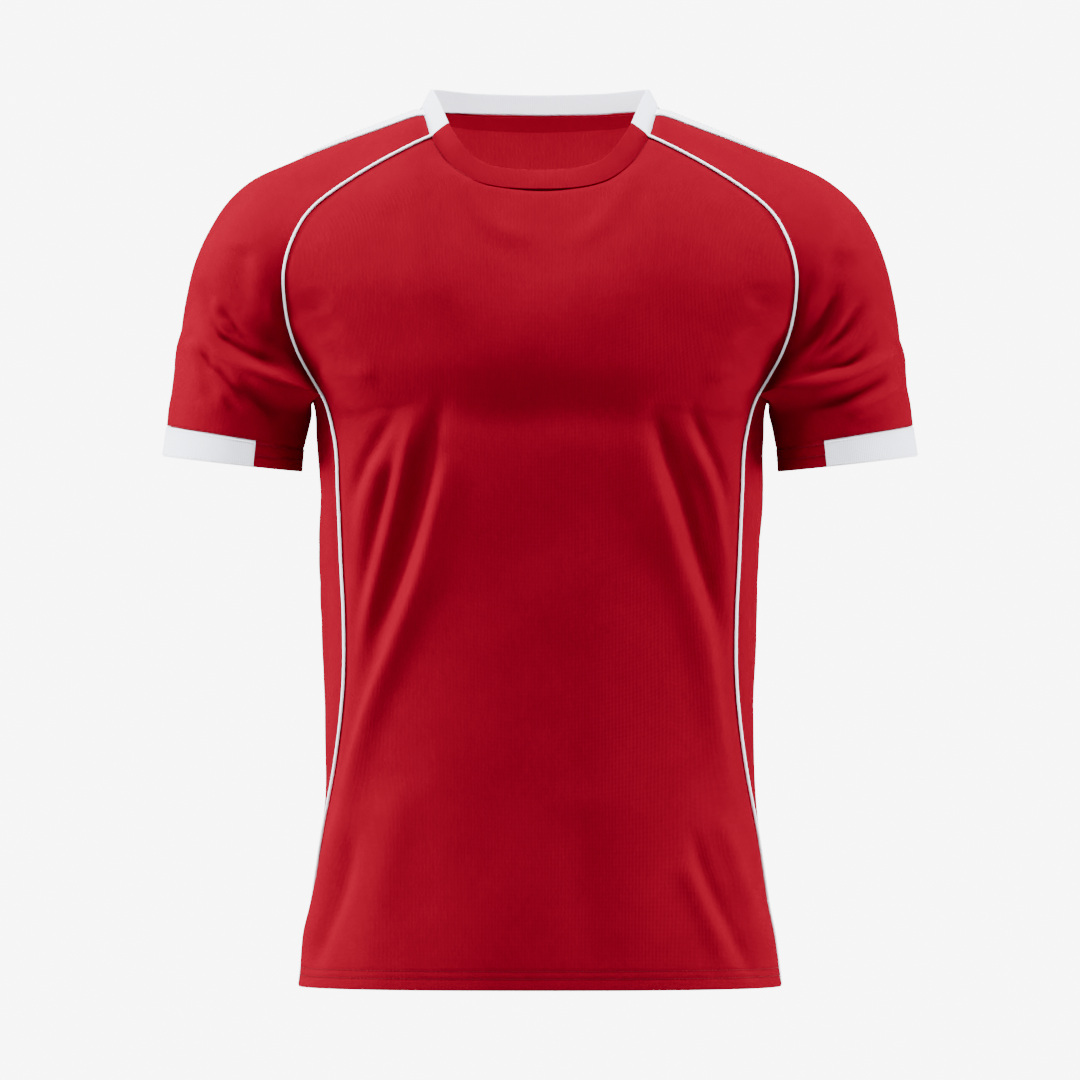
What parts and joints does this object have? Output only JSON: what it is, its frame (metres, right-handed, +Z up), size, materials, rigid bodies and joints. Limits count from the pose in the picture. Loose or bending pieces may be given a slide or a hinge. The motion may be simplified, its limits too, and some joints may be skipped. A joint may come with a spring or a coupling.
{
  "type": "football jersey",
  "caption": "Short-sleeved raglan football jersey in red knit, worn and filled out, with a white collar band, cuff bands and seam piping; neck, hem and cuffs are open.",
  "frame": {"origin": "middle of the neck at shoulder height, where a wearer's shoulders carry the jersey", "axes": "+Z up towards the neck, -Y out of the front, +X towards the wearer's left sleeve"},
  "size_m": [0.6004, 0.2357, 0.7161],
  "materials": {
    "red_knit": "matte with a soft sheen",
    "white_rib": "matte",
    "dark_red_tape": "matte"
  },
  "bodies": {
    "root": {"front_panel": "red_knit", "back_panel": "red_knit", "sleeve_left": "red_knit", "sleeve_right": "red_knit", "cuff_band_left": "white_rib", "cuff_band_right": "white_rib", "neckband_front": "red_knit", "collar_band": "white_rib", "neck_tape": "dark_red_tape", "raglan_piping_left": "white_rib", "raglan_piping_right": "white_rib", "side_piping_left": "white_rib", "side_piping_right": "white_rib", "shoulder_tape_left": "white_rib", "shoulder_tape_right": "white_rib"}
  },
  "joints": []
}
